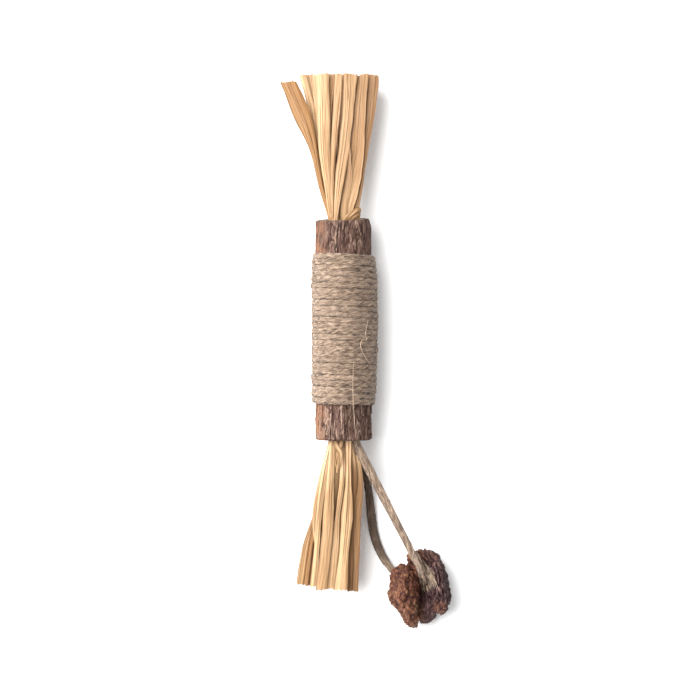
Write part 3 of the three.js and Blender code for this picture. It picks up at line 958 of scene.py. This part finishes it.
class SILVERVINE_OT_winding(bpy.types.Operator):
    """Winds the twine round the stick, and adds its loose hairs"""

    bl_idname = "silvervine.winding"
    bl_label = "Winding"

    def execute(self, context):
        twine = context.scene.silvervine.twine
        path = winding_path(twine)
        piece = make_rope("wound_twine", path, twine.lay, 20, 0.12, 0.27)
        co = points_of(piece)
        x, y, z = co.T
        # Painted shade: the grooves between the turns are darker in places, and so is the right
        # side
        turn = y / twine.pitch - 0.25 - np.arctan2(z - AXIS_Z, x) / (2 * math.pi)
        groove = smoothstep(abs(turn - np.rint(turn)), 0.36, 0.48)
        groove *= 0.1 + 0.75 * smoothstep(noise_at(co * (0.35, 0.7, 0.35) / MM), -0.1, 0.3)
        store(piece, "shade", np.minimum(0.2 * smoothstep(x, 2 * MM, 8 * MM) + groove, 1))
        finish_piece(piece, "twine_surface", "jute_twine", "twine_winding")

        rng = np.random.default_rng(8)
        count = twine.fibres
        lines = lay_fibres(path, rng, count, 1.25, -0.25, (1 * MM, 3.6 * MM), 0.12)
        tones = rng.uniform(0, 1, count) ** 1.3
        hairs = make_hairs("winding_fibres", lines, rng.uniform(0.03, 0.085, count) * MM, tones)
        finish_piece(hairs, "fibre_surface", "jute_twine")

        curly = (
            (6.9, 2.7), (6.6, 0.4), (6.2, -1.9), (6.7, -2.6), (6.4, -3.4), (5.3, -3.4),
            (4.8, -5), (5.4, -7), (6.8, -9.4), (8.3, -11.7),
        )
        straight = (
            (2.8, -8.1), (2.6, -12), (2.5, -17), (2.6, -22), (2.8, -25), (3.1, -29), (3.3, -32.2),
        )
        lines = np.stack([smooth_line(on_winding(route), 60)[0] for route in (curly, straight)])
        stray = make_hairs("stray_fibres", lines, 0.075 * MM, np.array([0.9, 0.8]))
        finish_piece(stray, "fibre_surface", "jute_twine")
        return {"FINISHED"}


def strip_stations(node):
    """A frame strip's six stations: distance from the mouth, left, right and height."""
    mouth, outward = MOUTHS[node[:5]]
    co = np.unique(np.round(points_of(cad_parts[node]), 7), axis=0)
    co = co[np.argsort(outward * co[:, 1])].reshape(6, 6, 3)
    height = (co[:, :, 2].max(1) + co[:, :, 2].min(1)) / 2
    far = outward * (co[:, :, 1].mean(1) - mouth)
    return far, co[:, :, 0].min(1), co[:, :, 0].max(1), height


def strip_outline(node, rng):
    """Where a strip runs, with at each station the distance from the mouth, the middle, the
    width and the height above the floor, and the ribbon that says how it looks."""
    far, left, right, height = strip_stations(node)
    ribbon = RIBBONS[node[:5]].get(int(node[-2:]))
    if ribbon is None:
        far = far * (INNER_REACH * MM / far[-1])
        narrow = 1 - 0.25 * rng.uniform(0, 1, 6) * smoothstep(far, 2 * MM, 14 * MM)
        middle = (left + right) / 2 + rng.normal(size=6) * 0.35 * MM
        width = np.maximum((right - left) * 1.25, 1.9 * MM) * narrow
        # Strips in the middle of the bundle get painted shade
        shaded = 0.35 * smoothstep(abs(height[-1] - 7 * MM), 5.2 * MM, 2.5 * MM)
        tone, amber = rng.uniform(0.3, 0.9), 0.25 * rng.uniform() ** 2
        stations = np.stack([far, middle, width, height], 1)
        return stations, Ribbon((), (), tone, amber, shaded=shaded)
    slanted = LOWER_REACH + LOWER_SLANT * ribbon.middles[-1]
    tip = (UPPER_REACH if node.startswith("upper") else slanted) - ribbon.shorter
    tip *= MM
    stops = np.array([far[0], far[0] / 2, 0, tip / 4, tip / 2, tip * 3 / 4, tip])
    middles = np.array((ribbon.middles[0],) * 2 + ribbon.middles) * MM
    widths = np.array((ribbon.widths[0],) * 2 + ribbon.widths) * 1.04 * MM
    top_far, _, _, top_height = strip_stations(node[:-2] + "02")
    top = np.interp(stops, top_far, top_height)
    drawn_up = (0.6 - 0.5 * ribbon.shaded) * smoothstep(stops, 0, 15 * MM)
    heights = np.interp(stops, far, height) * (1 - drawn_up) + top * drawn_up
    return np.stack([stops, middles, widths, heights], 1), ribbon


def strip_relief(fold, rng, number, u, t, column, width):
    """How far a strip's folds and layers stand out, and the lines of painted shade where its layers
    end.
    """
    # Pleats, which stand higher where the strip is crowded, and a slight arch
    folds = rng.integers(1, 4)
    knots = np.sort(np.concatenate([[-1, 1], rng.uniform(-0.85, 0.85, folds)]))
    heights = rng.uniform(0.3, 1, len(knots)) * np.where(np.arange(len(knots)) % 2, 1, -1)
    pleat = np.interp(u + 0.1 * np.sin(4 * t + number), knots, heights)
    crowded = np.clip(1 - width / width.max(), 0, 1) ** 0.7
    arch = rng.uniform(-0.1, 0.2) * (1 - u * u)
    lift = fold * (0.5 + 0.5 * crowded) * 0.5 * pleat + arch * width / 2
    lift += 0.12 * MM * noise_in(3 * u, 9 * t, number)
    # Steps where a layer ends, along part of the strip, each with a line of painted shade
    layers = rng.choice(np.arange(3, STRIP_COLUMNS - 3), rng.integers(2, 5), replace=False)
    line = np.zeros(len(u))
    for layer in layers:
        start, end = rng.uniform(-0.2, 0.5), rng.uniform(0.5, 1.3)
        window = smoothstep(t, start, start + 0.2) * smoothstep(t, end, end - 0.2)
        step = rng.choice((-1, 1)) * rng.uniform(0.1, 0.25) * window
        lift += step * MM * (column > layer)
        line += window * (column == layer + (step < 0)) * rng.uniform(0.5, 1)
    return lift, line


def ragged_tip(rng):
    """How far each column of a strip reaches past its tip."""
    u = np.linspace(-1, 1, STRIP_COLUMNS + 1)
    reach = np.convolve(rng.normal(size=len(u) + 2), (0.3, 0.5, 0.3), "valid") * 0.14 * MM
    reach += rng.normal(size=len(u)) * 0.12 * MM
    reach += u * rng.uniform(-0.3, 0.3) * MM
    return reach - 0.15 * MM * smoothstep(abs(u), 0.7, 1)


def strip_colours(ribbon, upper, far, t, u, line):
    """A strip's tone, paler at its root as painted light, and painted shade: dark lines along its
    edges and its layers, and the shade of a shaded strip.
    """
    # Painted light: the tone is paler near the root, and cream at the lower tassel's roots
    root = smoothstep(far, 15 * MM, 3 * MM)
    tone = ribbon.tone * (1 - 0.55 * root) + ribbon.tip_tone * smoothstep(t, 0.35, 0.8)
    # Painted shade: dark lines along the left edge, where a neighbour's shadow falls, weaker along
    # the right
    edge = ribbon.lined[0] * smoothstep(-u, 0.74, 0.94)
    edge += 0.55 * ribbon.lined[1] * smoothstep(u, 0.78, 0.96)
    if not upper:
        tone -= 0.9 * root
        line = line * (0.5 + 0.5 * smoothstep(far, 3 * MM, 12 * MM))
    # Painted shade on a shaded strip, from a little past the mouth
    shade = ribbon.shaded * smoothstep(far, 3 * MM, 10 * MM)
    return tone, np.maximum(np.maximum(0.9 * edge, 0.75 * line), shade)


def finish_strip(piece, raffia, tone, amber, edge, *nodes):
    store(piece, "tone", tone)
    store(piece, "amber", amber)
    store(piece, "edge", edge)
    apply_modifier(piece, "SOLIDIFY", thickness=raffia.thickness, offset=0)
    close_up(piece)
    smooth(piece, 24)
    finish_piece(piece, "raffia_surface", "raffia", *nodes)


def make_strip(raffia, node):
    """A strip of a tassel, in place of one of the frame's."""
    upper = node.startswith("upper")
    mouth, outward = MOUTHS[node[:5]]
    number = int(node[-2:])
    in_front = number in RIBBONS[node[:5]]
    rng = np.random.default_rng(number + (100 if upper else 300))
    stations, ribbon = strip_outline(node, rng)
    piece, column, row = grid(node.replace("raffia", "strip"), STRIP_COLUMNS, STRIP_ROWS)
    far, middle, width, height = smooth_stations(stations, STRIP_ROWS + 1)[row].T
    u = 2 * column / STRIP_COLUMNS - 1
    t = row / STRIP_ROWS

    lift, line = strip_relief(raffia.fold, rng, number, u, t, column, width)
    side = noise_in(np.sign(u) * 3, 14 * t, number + 0.5)
    reach = width / 2 * u * (1 + 0.12 * side * abs(u))

    # Strips in front lie nearly flat, and every other one further in stands on edge
    tilt = rng.uniform(-1, 1)
    if not in_front and number % 2:
        roll = np.radians(np.sign(tilt) * (72 - 40 * abs(tilt) * t))
    else:
        roll = np.radians((8 if in_front else 65) * tilt) * smoothstep(t, 0.15, 0.9)
    wave = rng.uniform(0.05, 0.22) * MM * np.sin(rng.uniform(4, 9) * t + rng.uniform(0, 6))
    bow = 0 if in_front else rng.uniform(-0.6, 0.6) * MM
    across = reach * np.cos(roll) - lift * np.sin(roll)
    x = middle + wave * smoothstep(t, 0.2, 0.5) + across
    y = mouth + outward * (far + ragged_tip(rng)[column] * smoothstep(t, 0.93, 1))
    z = height + bow * np.sin(3 * t) + reach * np.sin(roll) + lift * np.cos(roll)

    # A strip stays in the bore, and outside it in a cone that opens from the mouth
    room = 4.9 * MM + 1.2 * np.maximum(far, 0)
    squeeze = np.minimum(1, room / np.maximum(np.hypot(x - AXIS_X, z - AXIS_Z), 1e-6))
    x = AXIS_X + (x - AXIS_X) * squeeze
    z = AXIS_Z + (z - AXIS_Z) * squeeze
    set_points(piece, np.stack([x, y, np.maximum(z, raffia.thickness)], 1))
    scale_uv(piece, width.max() * 1.1, np.ptp(far))
    for corner in piece.data.uv_layers.active.data:
        corner.uv.x += 13.7 * number + (500 if upper else 0)

    tone, edge = strip_colours(ribbon, upper, far, t, u, line)
    finish_strip(piece, raffia, tone, ribbon.amber, edge, node)


def make_folded_strip(raffia, name, route, width, tone):
    """A short strip, folded over at a bore's mouth, along a route in millimetres."""
    columns, rows = 8, 60
    line, length = smooth_line(np.array(route) * MM, rows + 1)
    piece, column, row = grid(name, columns, rows)
    ahead = unit(np.gradient(line, axis=0))
    across = unit(np.cross(ahead, (0.25, 0.1, 1)))
    u = 2 * column / columns - 1
    half_width = width * MM / 2 * (1 - 0.5 * (row / rows) ** 2)
    lift = 0.12 * MM * np.cos(3 * u + row / 9)
    points = line[row] + across[row] * (half_width * u)[:, None]
    set_points(piece, points + np.cross(across, ahead)[row] * lift[:, None])
    scale_uv(piece, width * MM, length)
    # Painted shade along both edges
    finish_strip(piece, raffia, tone, 0.1, smoothstep(abs(u), 0.7, 1))


class SILVERVINE_OT_tassels(bpy.types.Operator):
    """Makes the folded raffia strips of both tassels"""

    bl_idname = "silvervine.tassels"
    bl_label = "Tassels"

    def execute(self, context):
        raffia = context.scene.silvervine.raffia
        make_raffia_material(raffia)
        for node in sorted(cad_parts):
            if "raffia" in node:
                make_strip(raffia, node)
        for name, route, width, tone in FOLDED_STRIPS:
            make_folded_strip(raffia, name, route, width, tone)
        return {"FINISHED"}


def gall_base(gall):
    """The frame's own lumps in one even mesh, smoothed."""
    piece = bpy.data.objects.new("dried_gall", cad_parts["gall_fruit"].data.copy())
    bpy.context.scene.collection.objects.link(piece)
    close_up(piece)
    apply_modifier(piece, "REMESH", mode="VOXEL", voxel_size=gall.voxel)
    apply_modifier(piece, "SMOOTH", factor=0.6, iterations=4)
    apply_modifier(piece, "SUBSURF", levels=1, render_levels=1)
    return piece


def shift_outline(co):
    """Moves parts of the gall fruit's outline a little, in millimetres."""
    x, y, _ = co.T
    # The axis, how far, and where along X and Y each shift sets in
    for axis, shift, along_x, along_y in (
        (0, 0.85, (18.5, 14), (-73, -77)),
        (0, 1.2, (23.5, 18.5), (-80, -86)),
        (0, 0.5, (23.5, 19.5), (-83, -87)),
        (1, -0.6, (20, 24), (-70, -65)),
    ):
        co[:, axis] += shift * smoothstep(x, *along_x) * smoothstep(y, *along_y)
    x -= 0.5 * smoothstep(x, 28, 32)


class SILVERVINE_OT_gall_fruit(bpy.types.Operator):
    """Makes the knobbly gall fruit from the frame's own lumps"""

    bl_idname = "silvervine.gall_fruit"
    bl_label = "Gall fruit"

    def execute(self, context):
        gall = context.scene.silvervine.gall
        make_gall_material(gall)
        piece = gall_base(gall)
        co = points_of(piece) / MM
        x, y, z = co.T
        normals = read(piece.data.vertex_normals, "vector", 3)
        middle = (GALL_LOW.x + GALL_HIGH.x) / 2 / MM
        right = smoothstep(x, middle, middle + 2.5)

        # Coarse knobs, wrinkles and fine grains, drawn out along Y on the right lobe
        warp = np.stack([noise_at(co * 0.5 + 7 * k) for k in range(3)], 1)
        warp += 0.4 * np.stack([noise_at(co * 1.4 + 9 * k) for k in range(3)], 1)
        stretch = np.ones_like(co)
        stretch[:, 1] = 0.6 - 0.35 * right
        knobs = 0.7 - np.sqrt(cells_at(co * 0.42 + 0.5 * warp)[0] ** 2 + 0.05)
        wrinkles = abs(noise_at(co * stretch * 0.72 + 0.45 * warp + 3))
        grains = abs(noise_at(co * stretch * 1.55 + 0.5 * warp + 5))
        wrinkle, grain = (np.sqrt(np.minimum(folds / 0.4, 1)) - 0.6 for folds in (wrinkles, grains))
        push = gall.knob * 2 * knobs + gall.wrinkle * wrinkle * (0.85 + 0.3 * right)
        push += gall.grain * (grain + 0.3 * noise_at(co * 3)) * (1 - 0.35 * right)

        # Furrows that follow the right lobe's rim, and the deep fold between the lobes
        rim = RIM_X - 0.02 * (y - RIM_Y) ** 2
        inward = (rim - x + 0.8 * warp[:, 0]) / 1.5
        furrow = hump(inward - np.rint(inward), 0.24) * smoothstep(inward, 0.3, 0.8)
        furrow *= right * smoothstep(y, -83, -79) * smoothstep(z, 3, 6)
        push -= 0.8 * MM * furrow
        fold = hump(x - FOLD_X, 1.5) * hump(y - FOLD_Y, 4.5) * smoothstep(z, 6, 9)
        co += normals * (push / MM - 0.15)[:, None]
        z -= 1.6 * fold
        shift_outline(co)
        set_points(piece, co * MM)
        lift_off_floor(piece, 0)

        # Painted shade in the pits, the fold, the furrows, between the knobs and along the right
        # rim;
        # paler crowns on the knobs, dry flecks with painted highlight; a grey right lobe with a
        # reddish knob
        valley = hump(wrinkles, 0.1) + 0.55 * hump(grains, 0.09)
        pit_shade = 0.85 * valley + 0.9 * fold + 0.85 * furrow + 0.7 * right * smoothstep(inward, 0.7, 0)
        store(piece, "pit_shade", np.clip(pit_shade + 0.5 * smoothstep(-knobs, 0.1, 0.4), 0, 0.95))
        # The top of the right lobe is redder and paler, partly painted highlight
        top = 0.35 * smoothstep(y, -72, -68.5)
        crown_and_highlight = smoothstep(0.5 * wrinkle + 0.9 * grain + 0.6 * knobs, 0.2, 0.75)
        crown_and_highlight += 2.2 * right * top + 0.35 * smoothstep(y, -81, -84)
        store(piece, "crown_and_highlight", np.minimum(crown_and_highlight, 1))
        off_knob = smoothstep(np.hypot(x - KNOB_X, y - KNOB_Y), 1.6, 3)
        store(piece, "grey", right * (0.35 + 0.65 * off_knob) * (1 - top))
        smooth(piece, 80)
        finish_piece(piece, "gall_surface", "gall", "gall_fruit")
        return {"FINISHED"}


def drape(hair, rng):
    """Lays a hair's points on the gall fruit and the twine, bridging what is narrow."""
    under = [bpy.data.objects["dried_gall"], bpy.data.objects["front_twine"]]
    for i, point in enumerate(hair):
        # The heights of what lies below the point and beside it
        tops = []
        for x, y in ((0, 0), (0.8, 0), (-0.8, 0), (0.5, 0.7), (-0.5, -0.7)):
            above = (point[0] + x * MM, point[1] + y * MM, 0.05)
            casts = [piece.ray_cast(above, (0, 0, -1)) for piece in under]
            tops.append(max([at.z for found, at, _, _ in casts if found], default=0))
        bridged = 0.85 - 0.6 * (i / len(hair)) ** 2
        top = tops[0] * (1 - bridged) + max(tops) * bridged + rng.uniform(0.03, 0.3) * MM
        point[2] = max(top, tops[0])


class SILVERVINE_OT_frayed_end(bpy.types.Operator):
    """Makes the frayed end of the front twine, glued down in the cleft of the gall fruit"""

    bl_idname = "silvervine.frayed_end"
    bl_label = "Frayed end"

    def execute(self, context):
        rng = np.random.default_rng(21)
        count, stations = 720, 9
        t = np.linspace(0, 1, stations)[None, :, None]
        spread = rng.uniform(-1.05, 1.05, (count, 1, 1))
        start = np.array((20.9, -67.4, 12.9)) + np.array((0.9, 0.5, 0)) * spread
        start = start + rng.uniform(-0.5, 0.4, (count, 1, 1)) * (0.5, -0.86, 0.5)
        bend = np.array((23.9, -72.6, 13.6)) + np.array((1.3, 0.6, 0)) * spread
        tip = np.array((25.1, -75.9, 12)) + np.array((1.45, 0.5, 0)) * spread
        tip = tip + rng.normal(size=(count, 1, 3)) * (0.45, 1.3, 0)
        lines = start * (1 - t) ** 2 + 2 * bend * t * (1 - t) + tip * t**2
        lines = lines + 0.28 * np.sin(6 * t + rng.uniform(0, 6, (count, 1, 3))) * t
        lone = [smooth_line(route, stations)[0] for route in (
            ((25.2, -72.6, 13), (26.55, -74.1, 13), (27.6, -76.4, 13), (28.5, -78.8, 13)),
            ((25.6, -72.9, 13), (26.5, -74.6, 13), (27.1, -76.2, 13), (27.5, -77.7, 13)),
            ((23.9, -75.6, 13), (24.2, -76.8, 13), (24.7, -77.8, 13), (25.1, -78.6, 13)),
        )]
        lines = np.concatenate([lines, lone]) * MM
        for hair in lines:
            drape(hair, rng)
        tones = 0.75 * rng.uniform(0, 1, len(lines)) ** 2
        tones[-len(lone):] = 0.8
        piece = make_hairs("frayed_twine_end", lines, 0.07 * MM, tones)
        finish_piece(piece, "fibre_surface", "jute_twine")
        return {"FINISHED"}


class SILVERVINE_PT_panel(bpy.types.Panel):
    """Lists the settings and the operators"""

    bl_label = "Silvervine stick"
    bl_idname = "SILVERVINE_PT_panel"
    bl_space_type = "VIEW_3D"
    bl_region_type = "UI"
    bl_category = "Silvervine"

    def draw(self, context):
        settings = context.scene.silvervine
        for group in ("stage", "bark", "twine", "raffia", "gall"):
            box = self.layout.box()
            box.label(text=group.capitalize())
            part = getattr(settings, group)
            for name in part.bl_rna.properties.keys():
                if name not in ("rna_type", "name"):
                    box.prop(part, name)
        for operator in OPERATORS:
            self.layout.operator(operator.bl_idname)


OPERATORS = (
    SILVERVINE_OT_stage,
    SILVERVINE_OT_hanging_twines,
    SILVERVINE_OT_stick,
    SILVERVINE_OT_winding,
    SILVERVINE_OT_tassels,
    SILVERVINE_OT_gall_fruit,
    SILVERVINE_OT_frayed_end,
)
CLASSES = (
    StageSettings, BarkSettings, TwineSettings, RaffiaSettings, GallSettings, SilvervineSettings,
    *OPERATORS, SILVERVINE_PT_panel,
)


def register():
    for item in CLASSES:
        bpy.utils.register_class(item)
    bpy.types.Scene.silvervine = PointerProperty(type=SilvervineSettings)


def unregister():
    del bpy.types.Scene.silvervine
    for item in reversed(CLASSES):
        bpy.utils.unregister_class(item)


def main():
    register()
    bpy.ops.silvervine.stage()
    bpy.ops.silvervine.hanging_twines()
    bpy.ops.silvervine.stick()
    bpy.ops.silvervine.winding()
    bpy.ops.silvervine.tassels()
    bpy.ops.silvervine.gall_fruit()
    bpy.ops.silvervine.frayed_end()


if __name__ == "__main__":
    main()
